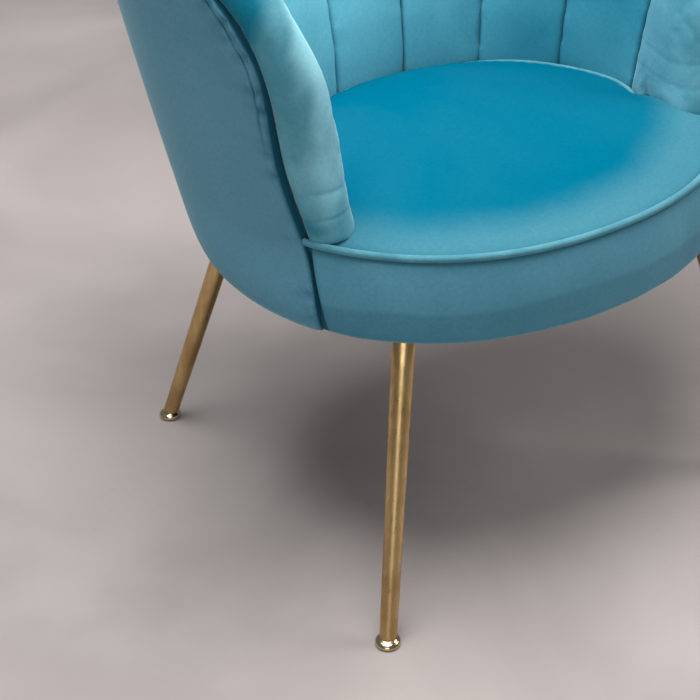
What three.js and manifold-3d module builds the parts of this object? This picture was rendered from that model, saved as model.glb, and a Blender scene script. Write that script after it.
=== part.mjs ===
// Upholstered shell armchair: a round, fixed seat inside a flared, channelled back that ends in two
// padded arms, on four splayed metal legs. Millimetres, +Z up, the front faces -Y, and +X is on
// the right of a person who faces the chair. The origin is on the floor, under the middle of the
// chair's box. Until the last lines the origin is under the middle of the seat base instead.
import * as THREE from "three";
import { mergeVertices } from "three/addons/utils/BufferGeometryUtils.js";
import Module from "manifold-3d";

const wasm = await Module();
wasm.setup();

// ---- Driving dimensions ----
const GAP = 0.4; // clearance between neighbouring pieces
const RIM_Z = 309; // underside of the seat base
const PIPING_Z = 404; // top edge of the front band
const FRAME_Z = 315.3; // underside of the lower base ring
const PLY = 18; // thickness of both base rings
const BLOCK_HEIGHT = 32;
const DECK_Z = FRAME_Z + 2 * PLY + BLOCK_HEIGHT + 2 * GAP; // top of the base frame
const ARM_EDGE_Z = 700; // top edge of the outer cover over the arms
const BACK_EDGE_Z = 745; // top edge of the outer cover in the middle of the back
const CORNER_HEIGHT = 155; // height of the arm's rounded front corner
const COVER = 3.5; // outer cover with its wadding
const FRAME_NEAR = 6; // frame members, measured inwards from the outer surface
const FRAME_FAR = 24;
const PAD_BACK = 27.5; // back face of the channel pads, measured the same way
const PAD_TOP_RISE = 36; // pads stand this far over the outer cover's top edge
const PAD_BELLY = 7; // how far a channel stands out between its seams
const SEAT_CROWN = 34; // rise of the seat's middle over its piping
const SEAT_COVER = 3;
const PIPING_RADIUS = 4.5;
const LEG_TOP_RADIUS = 12.5;
const LEG_FOOT_RADIUS = 9;
const LEG_WALL = 1.5;
const STUD_RADIUS = 4;
const GLIDE_RADIUS = 12;
const GLIDE_HEIGHT = 8;
const BACK_THICKNESS = 82; // of the padded wall at its top, behind
const ARM_THICKNESS = 77; // and at the fronts of the arms
const ROLL_BOTTOM = 412; // underside of the padded arm front
const ROLL_RISE = 12; // its underside rises this much from the outer to the inner face
const ROLL_BULGE = 33; // its half round stands this far out of the free edge
const BAND_BELLY = 5; // how far the front band stands out between its edges
const RING_SEGMENTS = 40; // steps round the base, seat and dust cover
const ROD_SEGMENTS = 16; // steps round the legs and glides
const DEG = Math.PI / 180;

// Plan outlines about the middle of the base: half-widths, roundness and middle.
const RIM = { rx: 287.5, ry: 248.7, power: 2.16, middle: 0 };
const BAND = { rx: 281.4, ry: 244.4, power: 2.16, middle: 0 };
const WELL = { rx: 232.6, ry: 229.1, power: 2.2, middle: -58.8 };

// Seams between channels, as angles from the middle of the back. The last one on each side is
// where the padded arm front begins.
const SEAMS = [15.1, 43.1, 68.7, 93.5];
const LAST_SEAM = SEAMS[SEAMS.length - 1];
const ARM_FRONT = 109.2; // front edge of the arm above the seat
const ARM_FRONT_LOW = 114.3; // the same edge at the underside

const LEGS = [
  { name: "front_right", top: [194, -158.5], foot: [275.8, -245.9] },
  { name: "front_left", top: [-194, -158.5], foot: [-275.8, -245.9] },
  { name: "rear_right", top: [169.7, 171.8], foot: [241.6, 246.4] },
  { name: "rear_left", top: [-169.7, 171.8], foot: [-241.6, 246.4] },
];

// ---- Materials ----
const paint = (color, roughness, metalness = 0) =>
  new THREE.MeshStandardMaterial({ color, roughness, metalness });
const materials = {
  velvet: () => paint(0x2f8ea3, 0.75),
  velvetSeat: () => paint(0x1089ab, 0.7),
  foam: () => paint(0xe8dcae, 0.95),
  plywood: () => paint(0xc79d66, 0.7),
  brass: () => paint(0xb58a45, 0.3, 1),
  steel: () => paint(0x8b8d90, 0.45, 1),
  webbing: () => paint(0x2c2a28, 0.9),
  lining: () => paint(0x1b1b1d, 0.95),
};

const chair = new THREE.Group();

function add(name, geometry, material) {
  const mesh = new THREE.Mesh(geometry, material);
  mesh.name = name;
  chair.add(mesh);
  return mesh;
}

/** A piece on the +X side and its mirror image on the -X side. */
function addPair(name, geometry, makeMaterial) {
  add(name + "_right", geometry, makeMaterial());
  add(name + "_left", geometry, makeMaterial()).scale.x = -1;
}

// ---- Form of the shell ----
const clamp = (x) => Math.min(1, Math.max(0, x));
const mix = (from, to, share) => from + (to - from) * share;
function smooth(x) {
  const c = clamp(x);
  return c * c * (3 - 2 * c);
}

/** Distance from the middle of the base to an outline, at an angle in degrees from the back. */
function reach(angle, outline) {
  const x = Math.sin(angle * DEG);
  const y = Math.cos(angle * DEG);
  let inside = 0;
  let outside = 2 * outline.rx;
  for (let step = 0; step < 30; step++) {
    const r = (inside + outside) / 2;
    const across = Math.abs((r * x) / outline.rx) ** outline.power;
    const along = Math.abs((r * y - outline.middle) / outline.ry) ** outline.power;
    if (across + along < 1) inside = r;
    else outside = r;
  }
  return inside;
}

/** How far the shell has flared out at a height over the rim: quickly at first, then slowly. */
const FLARE = { slope: 0.26, easing: 0.000069, quick: 8, quickHeight: 20 };
const flareAt = (height) =>
  FLARE.slope * height -
  FLARE.easing * height ** 2 +
  FLARE.quick * (1 - Math.exp(-height / FLARE.quickHeight));

/** The shell is drawn in towards the fronts of the arms, between two angles and over a height. */
const TUCK = { depth: 24, from: 60, to: 114.5, height: 95 };
const tuckAt = (angle, height) =>
  TUCK.depth *
  smooth((Math.abs(angle) - TUCK.from) / (TUCK.to - TUCK.from)) *
  smooth(height / TUCK.height);

/** Outer radius of the shell. */
const outerRadius = (angle, z) =>
  reach(angle, RIM) + flareAt(z - RIM_Z) - tuckAt(angle, z - RIM_Z);

/** Top edge of the outer cover, without the rounded corner of the arm. */
const EDGE_TURN = 85.5; // degrees of a cosine that the edge follows from the back to the arm
function edgeHeight(angle) {
  const turn = EDGE_TURN * clamp(Math.abs(angle) / LAST_SEAM) * DEG;
  return mix(ARM_EDGE_Z, BACK_EDGE_Z, Math.cos(turn) ** 2);
}

/** Front edge of the arm: it leans forwards a little below the seat, over this height. */
const FRONT_LEAN_HEIGHT = 200;
const frontAngle = (z) =>
  mix(ARM_FRONT_LOW, ARM_FRONT, smooth((z - RIM_Z) / FRONT_LEAN_HEIGHT));

/** Radius of the pads' inner face at the seat. The arms close in a little at their fronts. */
const ARM_CLOSING = { depth: 20, from: 85, to: 109 };
function wellRadius(angle) {
  const { depth, from, to } = ARM_CLOSING;
  return reach(angle, WELL) - depth * smooth((Math.abs(angle) - from) / (to - from));
}

/**
 * Thickness of the wall from its outer surface to the pads' inner face. The face leans back along
 * a curve behind the seat, and nearly straight along the arms.
 */
const LEAN_CURVE = { back: 1.7, arm: 1.05, from: 70, to: 110 };
function wall(angle, z) {
  const arm = smooth((Math.abs(angle) - LEAN_CURVE.from) / (LEAN_CURVE.to - LEAN_CURVE.from));
  const top = edgeHeight(angle);
  const thickness = mix(BACK_THICKNESS, ARM_THICKNESS, arm);
  const lean = outerRadius(angle, top) - thickness - wellRadius(angle);
  const height = Math.max(0, (z - PIPING_Z) / (top - PIPING_Z));
  const share = height ** mix(LEAN_CURVE.back, LEAN_CURVE.arm, arm);
  return outerRadius(angle, z) - wellRadius(angle) - lean * share;
}

/** A point at an angle from the back, a radius from the middle of the base, and a height. */
const polar = (angle, radius, z) => [
  radius * Math.sin(angle * DEG),
  radius * Math.cos(angle * DEG),
  z,
];

/** A point in the wall, a distance inwards from the outer surface. */
const inWall = (angle, depth, z) => polar(angle, outerRadius(angle, z) - depth, z);

/** Plan radius of the seat: out to the band in front, in to the pads behind. */
const SEAT_STEP = { from: 107, to: 112 }; // angles where it widens, under the arm fronts
const SEAT_INSET = 7;
function seatRadius(angle) {
  const front = smooth((Math.abs(angle) - SEAT_STEP.from) / (SEAT_STEP.to - SEAT_STEP.from));
  return mix(wellRadius(angle) - PAD_BELLY - SEAT_INSET, reach(angle, BAND), front);
}

// ---- Shape helpers ----
/** Moves each vertex of a geometry. */
function warp(geometry, move) {
  const p = geometry.attributes.position;
  for (let i = 0; i < p.count; i++) p.setXYZ(i, ...move(p.getX(i), p.getY(i), p.getZ(i)));
  geometry.computeVertexNormals();
  return geometry;
}

/** A box whose corners and grid lines are placed by a function of u, v and t, each from 0 to 1. */
const bentBox = (nu, nv, nt, place) =>
  warp(new THREE.BoxGeometry(1, 1, 1, nu, nv, nt), (x, y, z) => place(x + 0.5, y + 0.5, z + 0.5));

/** A curved strip in the wall, between two angles, two heights and two depths. */
const wallStrip = (steps, angles, heights, depths) =>
  bentBox(steps, 1, 1, (u, v, t) =>
    inWall(mix(...angles, u), mix(...depths, t), mix(...heights, v)));

/** A turned shape about +Z, from its profile of radius and height, lowest point first. */
function turned(profile, segments) {
  const points = profile.map(([r, z]) => new THREE.Vector2(r, z));
  return new THREE.LatheGeometry(points, segments).rotateX(Math.PI / 2);
}

/** A flat or crowned plate with the plan of an outline: profile radii are shares of its radius. */
function plate(profile, radiusAt, heightAt = (share, z) => z) {
  return warp(turned(profile, RING_SEGMENTS), (x, y, z) => {
    const share = Math.hypot(x, y);
    const angle = Math.atan2(x, y) / DEG;
    return polar(angle, share * radiusAt(angle), heightAt(share, z));
  });
}

function solid(geometry) {
  const bare = geometry.index ? geometry.toNonIndexed() : geometry.clone();
  bare.deleteAttribute("normal");
  bare.deleteAttribute("uv");
  const merged = mergeVertices(bare, 1e-3);
  return new wasm.Manifold(
    new wasm.Mesh({
      numProp: 3,
      vertProperties: merged.attributes.position.array,
      triVerts: new Uint32Array(merged.index.array),
    }),
  );
}

function toGeometry(manifold) {
  const { vertProperties, triVerts } = manifold.getMesh();
  const geometry = new THREE.BufferGeometry();
  geometry.setAttribute("position", new THREE.BufferAttribute(vertProperties, 3));
  geometry.setIndex(new THREE.BufferAttribute(triVerts, 1));
  geometry.computeVertexNormals();
  return geometry;
}

/** One geometry with others cut away from it. */
const cut = (geometry, ...tools) =>
  toGeometry(tools.reduce((left, tool) => left.subtract(solid(tool)), solid(geometry)));

/** One geometry kept between two heights. */
function trimmed(geometry, low, high) {
  const slab = new THREE.BoxGeometry(2000, 2000, high - low).translate(0, 0, (low + high) / 2);
  return toGeometry(solid(geometry).intersect(solid(slab)));
}

// ---- Legs ----
/** Stands a turned shape on the line of a leg, with its heights counted up from the floor. */
function alongLeg(geometry, { top, foot }) {
  const low = new THREE.Vector3(...foot, 0);
  const line = new THREE.Vector3(...top, RIM_Z).sub(low).normalize();
  const turn = new THREE.Quaternion().setFromUnitVectors(new THREE.Vector3(0, 0, 1), line);
  return geometry.applyQuaternion(turn).translate(low.x, low.y, 0);
}

/** Length along a leg that reaches a height over the floor. */
const legLength = ({ top, foot }, z) =>
  (z * Math.hypot(top[0] - foot[0], top[1] - foot[1], RIM_Z)) / RIM_Z;

/** A rod on the line of a leg, used to cut the holes that the leg's stud and tube pass through. */
const ROD_LENGTH = 420;
const legRod = (leg, radius) =>
  alongLeg(
    turned([[0, 0], [radius, 0], [radius, ROD_LENGTH], [0, ROD_LENGTH]], ROD_SEGMENTS),
    leg,
  );

/** A tapered tube with a closed top, and the stud that screws it into its plate and the base. */
const LEG_CAP = 20; // thickness of the closed top
const LEG_TOP_Z = RIM_Z + 2 - GAP; // just under the mounting plate
function legTube(leg) {
  const end = legLength(leg, RIM_Z) + 12;
  const bore = LEG_FOOT_RADIUS - LEG_WALL;
  const boreTop = LEG_TOP_RADIUS - LEG_WALL;
  const tube = turned(
    [[bore, 0], [LEG_FOOT_RADIUS, 0], [LEG_TOP_RADIUS, end], [0, end], [0, end - LEG_CAP],
      [boreTop, end - LEG_CAP], [bore, 0]],
    ROD_SEGMENTS,
  );
  const body = trimmed(alongLeg(tube, leg), GLIDE_HEIGHT + GAP, LEG_TOP_Z);
  const stud = trimmed(legRod(leg, STUD_RADIUS), RIM_Z - 3, FRAME_Z + PLY - 4);
  return toGeometry(solid(body).add(solid(stud)));
}

/** A domed foot that lies flat on the floor, with a stem in the leg's bore. */
const STEM_TOP_Z = 30;
function legGlide(leg) {
  const foot = turned(
    [[0, 0], [GLIDE_RADIUS - 2, 0], [GLIDE_RADIUS, 2], [GLIDE_RADIUS, 4.5],
      [GLIDE_RADIUS - 1.5, 7], [GLIDE_RADIUS - 4, GLIDE_HEIGHT], [0, GLIDE_HEIGHT]],
    ROD_SEGMENTS,
  ).translate(...leg.foot, 0);
  const stemRadius = LEG_FOOT_RADIUS - LEG_WALL - 1;
  const stem = trimmed(legRod(leg, stemRadius), GLIDE_HEIGHT - 2, STEM_TOP_Z);
  return toGeometry(solid(foot).add(solid(stem)));
}

/** A slanting-hole mounting plate, set inwards from the leg's line to stay on the base ring. */
const LEG_PLATE = { width: 46, length: 50, thickness: 4, inwards: 14 };
function legPlate(leg) {
  const { width, length, thickness, inwards } = LEG_PLATE;
  const box = new THREE.BoxGeometry(width, length, thickness)
    .translate(-inwards, 0, 0)
    .rotateZ(Math.atan2(leg.top[1], leg.top[0]))
    .translate(leg.top[0], leg.top[1], RIM_Z + 2 + thickness / 2);
  return cut(box, legRod(leg, STUD_RADIUS + 0.5));
}

for (const leg of LEGS) {
  add("leg_tube_" + leg.name, legTube(leg), materials.brass());
  add("leg_glide_" + leg.name, legGlide(leg), materials.brass());
  add("leg_plate_" + leg.name, legPlate(leg), materials.steel());
}

// ---- Seat base ----
const LOWER_RING_INSET = 9; // from the rim, all round
const UPPER_RING_INSET = 12; // from the rim, in front
const DUST_COVER_INSET = 8;
const RING_OPENING = 0.72; // inner edge of a ring, as a share of its radius
const insetRim = (inset) => (angle) => reach(angle, RIM) - inset;

/** A plywood ring that lies at a height and reaches out to a radius at each angle. */
function baseRing(z, radiusAt) {
  const section = [[RING_OPENING, z], [1, z], [1, z + PLY], [RING_OPENING, z + PLY]];
  return plate([...section, section[0]], radiusAt);
}

/** Radius of the upper ring: it carries the band in front and the back frame behind. */
const UPPER_RING_STEP = { from: 104, to: 112 };
function upperRingRadius(angle) {
  const { from, to } = UPPER_RING_STEP;
  const behind = outerRadius(angle, DECK_Z - PLY) - FRAME_NEAR;
  return mix(behind, insetRim(UPPER_RING_INSET)(angle), smooth((Math.abs(angle) - from) / (to - from)));
}

/** A block between the base rings, over each leg, at a distance from the middle. */
const BLOCK = { depth: 54, width: 80, distance: 225 };
function cornerBlock({ top }) {
  const middle = FRAME_Z + PLY + GAP + BLOCK_HEIGHT / 2;
  return new THREE.BoxGeometry(BLOCK.depth, BLOCK.width, BLOCK_HEIGHT)
    .translate(BLOCK.distance, 0, middle)
    .rotateZ(Math.atan2(top[1], top[0]));
}

const studHoles = LEGS.map((leg) => legRod(leg, STUD_RADIUS + 1.5));
const lowerRing = cut(baseRing(FRAME_Z, insetRim(LOWER_RING_INSET)), ...studHoles);
add("base_ring_lower", lowerRing, materials.plywood());
add("base_ring_upper", baseRing(DECK_Z - PLY, upperRingRadius), materials.plywood());
for (const leg of LEGS) add("corner_block_" + leg.name, cornerBlock(leg), materials.plywood());

const DUST_Z = RIM_Z + 0.2;
const DUST_THICKNESS = 1.2;
const dustTop = DUST_Z + DUST_THICKNESS;
const dustProfile = [[0, DUST_Z], [1, DUST_Z], [1, dustTop], [0, dustTop]];
const legHoles = LEGS.map((leg) => legRod(leg, LEG_TOP_RADIUS + 0.6));
const dustPlate = plate(dustProfile, insetRim(DUST_COVER_INSET));
add("dust_cover", cut(dustPlate, ...legHoles), materials.lining());

// ---- Seat suspension: elastic webbing, woven over and under ----
const WEB_WIDTH = 60;
const WEB_THICKNESS = 1.2;
const WEB_PITCH = 110;
const WEB_SWING = 1.3;
const WEB_INSET = 50; // its ends lie this far inside the rim, on the upper ring
const WEB_STEPS = 14;

/** Half the length of a strap that ends on the upper ring, at a distance from the middle. */
const strapHalf = (offset, half, otherHalf) =>
  half * (1 - (Math.abs(offset) / otherHalf) ** RIM.power) ** (1 / RIM.power);

/** A strap along Y, or along X when turned, whose height swings between the straps it crosses. */
function strap(line, turnedRound) {
  const offset = line * WEB_PITCH;
  const [along, across] = turnedRound ? [RIM.rx, RIM.ry] : [RIM.ry, RIM.rx];
  const half = strapHalf(offset, along - WEB_INSET, across - WEB_INSET);
  const phase = (line % 2 === 0 ? 1 : -1) * (turnedRound ? -1 : 1);
  return bentBox(1, WEB_STEPS, 1, (u, v, t) => {
    const run = mix(-half, half, v);
    const side = offset + (u - 0.5) * WEB_WIDTH;
    const swing = WEB_SWING * (1 + phase * Math.cos((Math.PI * run) / WEB_PITCH));
    const z = DECK_Z + GAP + swing + t * WEB_THICKNESS;
    return turnedRound ? [run, -side, z] : [side, run, z];
  });
}

for (const line of [-1, 0, 1]) {
  add("seat_webbing_long_" + (line + 2), strap(line, false), materials.webbing());
  add("seat_webbing_cross_" + (line + 2), strap(line, true), materials.webbing());
}

// ---- Seat ----
const FOAM_Z = DECK_Z + GAP + 2 * WEB_SWING + WEB_THICKNESS + GAP;
const CROWN_CURVE = 2.6; // a higher power is flatter in the middle
const CROWN_SHARES = [0.3, 0.55, 0.75, 0.9, 1];
const FOAM_INSET = 12;
const SEAT_COVER_INSET = 7;

const seatTop = (share) => PIPING_Z + SEAT_CROWN * (1 - share ** CROWN_CURVE);

/** A plate of the seat's plan, between an underside and a top whose heights follow its crown. */
function seatLayer(inset, underAt, overAt) {
  const under = [0, ...CROWN_SHARES].map((share) => [share, 0]);
  const over = [0, ...CROWN_SHARES].map((share) => [share, 1]).reverse();
  const heightAt = (share, level) => mix(underAt(share), overAt(share), level);
  return plate([...under, ...over], (angle) => seatRadius(angle) - inset, heightAt);
}

const foamTop = (share) => seatTop(share) - SEAT_COVER - GAP;
add("seat_foam", seatLayer(FOAM_INSET, () => FOAM_Z, foamTop), materials.foam());
const coverUnderside = (share) => seatTop(share) - SEAT_COVER;
add("seat_cover", seatLayer(SEAT_COVER_INSET, coverUnderside, seatTop), materials.velvetSeat());

/** A cord-filled welt round the whole seat cover. */
function seatPiping() {
  const section = 0.1;
  const ring = new THREE.TorusGeometry(1, section, 6, RING_SEGMENTS);
  return warp(ring, (x, y, z) => {
    const angle = Math.atan2(x, y) / DEG;
    const out = ((Math.hypot(x, y) - 1) / section) * PIPING_RADIUS;
    return polar(angle, seatRadius(angle) + out, PIPING_Z + (z / section) * PIPING_RADIUS);
  });
}
add("seat_piping", seatPiping(), materials.velvet());

/** A strip round the front of the base, bellied between the underside and the piping. */
function frontStrip(low, high, depth, thickness) {
  return bentBox(24, 3, 1, (u, v, t) => {
    const z = mix(low, high, v);
    const start = frontAngle(z) + 0.4;
    const angle = mix(start, 360 - start, u);
    const rise = (z - RIM_Z) / (PIPING_Z - RIM_Z);
    const belly = BAND_BELLY * Math.sin(Math.PI * rise);
    const face = mix(reach(angle, RIM), reach(angle, BAND), rise) + belly;
    return polar(angle, face - depth - t * thickness, z);
  });
}
const BAND_TOP = PIPING_Z - PIPING_RADIUS - GAP;
const BAND_COVER = 2.5;
const BAND_WADDING = 4;
const bandCover = frontStrip(RIM_Z, BAND_TOP, 0, BAND_COVER);
add("front_band_cover", bandCover, materials.velvet());
const bandWadding = frontStrip(FRAME_Z, BAND_TOP - 2, BAND_COVER + GAP, BAND_WADDING);
add("front_band_wadding", bandWadding, materials.foam());

// ---- Back frame ----
const RAIL_END = 104; // where the lower rail ends, as an angle from the middle of the back
const TOP_RAIL_END = 88;
const LOWER_RAIL_TOP = DECK_Z + 40;
const TOP_RAIL_DEPTH = 34;
const FRAME_DEPTHS = [FRAME_NEAR, FRAME_FAR];
const topRailTop = (angle) => edgeHeight(angle) - 6;
const topRailUnderside = (angle) => topRailTop(angle) - TOP_RAIL_DEPTH;

const lowerRailHeights = [DECK_Z + GAP, LOWER_RAIL_TOP];
const lowerRail = wallStrip(30, [-RAIL_END, RAIL_END], lowerRailHeights, FRAME_DEPTHS);
add("back_lower_rail", lowerRail, materials.plywood());

const topRail = bentBox(26, 1, 1, (u, v, t) => {
  const angle = mix(-TOP_RAIL_END, TOP_RAIL_END, u);
  return inWall(angle, mix(...FRAME_DEPTHS, t), mix(topRailUnderside(angle), topRailTop(angle), v));
});
add("back_top_rail", topRail, materials.plywood());

const UPRIGHTS = [-66, -33, 0, 33, 66]; // angles of their middles
const UPRIGHT_HALF = 4; // half their width, in degrees
UPRIGHTS.forEach((middle, index) => {
  const upright = bentBox(2, 5, 1, (u, v, t) => {
    const angle = mix(middle - UPRIGHT_HALF, middle + UPRIGHT_HALF, u);
    const z = mix(LOWER_RAIL_TOP + GAP, topRailUnderside(angle) - GAP, v);
    return inWall(angle, mix(...FRAME_DEPTHS, t), z);
  });
  add("back_upright_" + (index + 1), upright, materials.plywood());
});

/** The post inside the arm front, from the base up to under the rounded corner. */
const ARM_POST_ANGLES = [96.5, 103.5];
const ARM_POST_TOP_Z = ARM_EDGE_Z - 100;
const armPost = bentBox(1, 5, 1, (u, v, t) => {
  const z = mix(LOWER_RAIL_TOP + GAP, ARM_POST_TOP_Z, v);
  return inWall(mix(...ARM_POST_ANGLES, u), mix(...FRAME_DEPTHS, t), z);
});
addPair("arm_post", armPost, materials.plywood);

const BACK_WEB_DEPTH = FRAME_FAR + 1.3;
const BACK_WEB_WIDTH = 50;
const BACK_WEB_END = 92; // angle where the bands end, short of the arm posts
[520, 610].forEach((z, index) => {
  const depths = [BACK_WEB_DEPTH, BACK_WEB_DEPTH + WEB_THICKNESS];
  const band = wallStrip(30, [-BACK_WEB_END, BACK_WEB_END], [z, z + BACK_WEB_WIDTH], depths);
  add("back_webbing_" + (index + 1), band, materials.webbing());
});

// ---- Sheets that follow the whole shell ----
const CORNER_STEPS = 5;
const SHEET_STEPS = 36;

/**
 * A sheet round the shell from one arm front to the other, between two depths in the wall. Its
 * top edge has the rounded corners of the arms. It passes the edges by extraUp and extraAngle.
 */
function shellSheet(low, extraUp, extraAngle, near, far) {
  const cornerShare = CORNER_STEPS / SHEET_STEPS;
  return bentBox(SHEET_STEPS, 6, 1, (u, v, t) => {
    const side = Math.sign(u - 0.5);
    const intoCorner = clamp(1 - Math.min(u, 1 - u) / cornerShare);
    const turn = intoCorner * 90 * DEG;
    const middle = mix(-LAST_SEAM, LAST_SEAM, clamp((u - cornerShare) / (1 - 2 * cornerShare)));
    const angleAt = (front) => (turn > 0 ? side * mix(LAST_SEAM, front, Math.sin(turn)) : middle);
    const drop = CORNER_HEIGHT * (1 - Math.cos(turn));
    const top = edgeHeight(angleAt(ARM_FRONT)) - drop + extraUp;
    const z = mix(low, top, v ** 1.5); // rows lie closer together low down, where it curves most
    return inWall(angleAt(frontAngle(z) + extraAngle), mix(near, far, t), z);
  });
}

// ---- Channel pads ----
const SEAM_GAP = 0.12; // in degrees, each side of a seam
const SCALLOP = 0.3; // share of the top's rise that a channel loses at its seams

/** The space behind the pads, which the frame and the outer cover fill. */
const frameSpace = shellSheet(DECK_Z - 5, 1.5 * GAP, 0.25, -30, PAD_BACK);

/** One channel of the back between two seams, with a rounded top that folds over the frame. */
function channelPad(from, to) {
  const pad = bentBox(4, 5, 4, (u, v, t) => {
    const angle = mix(from + SEAM_GAP, to - SEAM_GAP, u);
    const across = 2 * u - 1;
    const fold = v === 1;
    const share = fold ? (1 - Math.cos(Math.PI * t)) / 2 : t;
    const rise = fold ? PAD_TOP_RISE * (1 - SCALLOP * across ** 2) * Math.sin(Math.PI * t) : 0;
    const z = mix(FOAM_Z, edgeHeight(angle) + GAP, v) + rise;
    const belly = PAD_BELLY * (1 - across ** 2) * share;
    return inWall(angle, share * wall(angle, z) + belly, z);
  });
  return cut(pad, frameSpace);
}

/**
 * The padded front of the arm. Its sheet is a rectangle with a quarter ellipse on top, and its
 * free rim, in front and over the corner, is a half round from the outer to the inner face.
 */
const ROLL_WIDTH = 95; // width of the rounded corner, for the direction that its rim faces
function armRoll() {
  const cornerShare = 0.5; // share of the grid's rows that lie in the rounded corner
  const cornerStart = ARM_EDGE_Z - CORNER_HEIGHT;
  const pad = bentBox(5, 8, 6, (u, v, t) => {
    const corner = clamp((v - cornerShare) / (1 - cornerShare));
    const along = u * Math.sqrt(1 - corner ** 2 / 2);
    const up = corner * Math.sqrt(1 - u ** 2 / 2);
    const lowest = ROLL_BOTTOM + ROLL_RISE * t;
    const straightZ = mix(lowest, cornerStart, v / cornerShare);
    const sheetZ = corner > 0 ? cornerStart + CORNER_HEIGHT * up : straightZ;
    const sheetAngle = mix(LAST_SEAM + SEAM_GAP, frontAngle(sheetZ), along);
    const free = u === 1 || v === 1;
    const share = free ? (1 - Math.cos(Math.PI * t)) / 2 : t;
    const forwards = corner > 0 ? along : 1;
    const upwards = corner > 0 ? (up * ROLL_WIDTH) / CORNER_HEIGHT : 0;
    const length = Math.hypot(forwards, upwards);
    const out = free ? ROLL_BULGE * Math.sin(Math.PI * t) : 0;
    const z = sheetZ + (out * upwards) / length + GAP;
    const angle = sheetAngle + (out * forwards) / length / (outerRadius(sheetAngle, z) * DEG);
    return polar(angle, outerRadius(sheetAngle, z) - share * wall(sheetAngle, z), z);
  });
  return cut(pad, frameSpace);
}

const edges = [...SEAMS.map((seam) => -seam).reverse(), ...SEAMS];
for (let i = 0; i < edges.length - 1; i++)
  add("channel_pad_" + (i + 1), channelPad(edges[i], edges[i + 1]), materials.velvet());
addPair("arm_roll", armRoll(), materials.velvet);

// ---- Outer cover and the strips that hold its folded front edges ----
const outerCover = shellSheet(RIM_Z, -GAP, -0.1, 0, COVER);
add("outer_cover", outerCover, materials.velvet());

const TACK = { depth: 8, thickness: 1.2, width: 2.2, inset: 0.4 }; // the last two in degrees
const tackStrip = bentBox(1, 5, 1, (u, v, t) => {
  const z = mix(FRAME_Z + 3, ARM_EDGE_Z - CORNER_HEIGHT, v);
  const front = frontAngle(z) - TACK.inset;
  return inWall(mix(front - TACK.width, front, u), TACK.depth + t * TACK.thickness, z);
});
addPair("tack_strip", tackStrip, materials.steel);

// ---- The origin: on the floor, under the middle of the box ----
const box = new THREE.Box3().setFromObject(chair, true);
chair.position.set(0, -(box.min.y + box.max.y) / 2, -box.min.z);

export default chair;
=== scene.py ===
import math

import bpy
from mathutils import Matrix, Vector, noise


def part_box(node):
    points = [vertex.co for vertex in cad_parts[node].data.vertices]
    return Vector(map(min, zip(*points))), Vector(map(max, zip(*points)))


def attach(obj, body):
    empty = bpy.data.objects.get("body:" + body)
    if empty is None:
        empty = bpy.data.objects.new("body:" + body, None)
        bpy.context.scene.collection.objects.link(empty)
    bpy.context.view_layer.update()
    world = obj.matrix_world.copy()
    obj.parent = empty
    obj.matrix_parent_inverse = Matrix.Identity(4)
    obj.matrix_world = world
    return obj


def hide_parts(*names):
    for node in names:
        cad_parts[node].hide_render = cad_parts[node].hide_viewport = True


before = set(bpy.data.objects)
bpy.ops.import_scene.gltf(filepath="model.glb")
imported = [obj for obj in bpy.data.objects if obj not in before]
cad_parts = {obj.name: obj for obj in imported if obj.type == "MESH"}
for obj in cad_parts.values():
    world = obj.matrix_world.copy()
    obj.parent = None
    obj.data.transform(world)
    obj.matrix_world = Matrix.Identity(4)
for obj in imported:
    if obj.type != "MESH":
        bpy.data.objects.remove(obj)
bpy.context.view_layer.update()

SCENE = bpy.context.scene
SCENE.view_settings.view_transform = "Standard"

# ---- Form of the chair, in metres; angles in degrees from the middle of the back ----
# An outline is (half width, half depth, power, middle) of a superellipse.
RIM_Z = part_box("outer_cover")[0].z
PIPING_LOW, PIPING_HIGH = (corner.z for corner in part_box("seat_piping"))
PIPING_Z = (PIPING_LOW + PIPING_HIGH) / 2
PIPING_RADIUS = (PIPING_HIGH - PIPING_LOW) / 2
SEAT_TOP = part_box("seat_cover")[1].z
DECK_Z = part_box("seat_foam")[0].z
BACK_EDGE_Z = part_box("outer_cover")[1].z
BASE_Y = sum(corner.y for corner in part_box("base_ring_lower")) / 2
ARM_EDGE_Z = BACK_EDGE_Z - 0.045
CORNER_HEIGHT = 0.155
CORNER_Z = ARM_EDGE_Z - CORNER_HEIGHT
SEAMS = [-93.5, -68.7, -43.1, -15.1, 15.1, 43.1, 68.7, 93.5]
LAST_SEAM = SEAMS[-1]
ARM_FRONT, ARM_FRONT_LOW = 109.2, 114.3
RIM = (0.2875, 0.2487, 2.16, 0.0)
BAND = (0.2814, 0.2444, 2.16, 0.0)
WELL = (0.2326, 0.2291, 2.2, -0.0588)
PAD_TOP_RISE = 0.036  # the channels stand this far over the cover's edge
PAD_BELLY = 0.004  # and are this much fuller in their middle
ROLL_BULGE = 0.030
ROLL_LOWEST = 0.409
GROOVE = 0.0050  # depth of the channels' back edge below the outer surface
ROLL_INSET = 0.0035  # and of the arm rolls' edge
PAD_BACK = 0.0275  # depth of the padding's back, where the frame is
FRAME_ZONE = (0.02, 0.033)  # depths in which it is held on the frame
SEAM_HELD = 0.004  # width beside a seam that the sewing holds
HEM_DEPTHS = (0.0045, 0.008, 0.013)
UNDERSIDE_DEPTHS = (0.002, 0.007, 0.022)
BAND_BACK = 0.009  # depth of the front band's wadding
TOP_RADIUS, FOOT_RADIUS = 0.0125, 0.009  # of the legs

# ---- Cloth: air pressure, steps, mesh size and most movement ----
PRESSURE, CLOTH_END = 4.0, 20
FINE_VOXEL, SEAT_VOXEL = 0.0045, 0.006
SWELL, SEAT_SWELL = 0.006, 0.008


def clamp(x):
    return min(1.0, max(0.0, x))


def mix(a, b, share):
    return a + (b - a) * share


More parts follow.
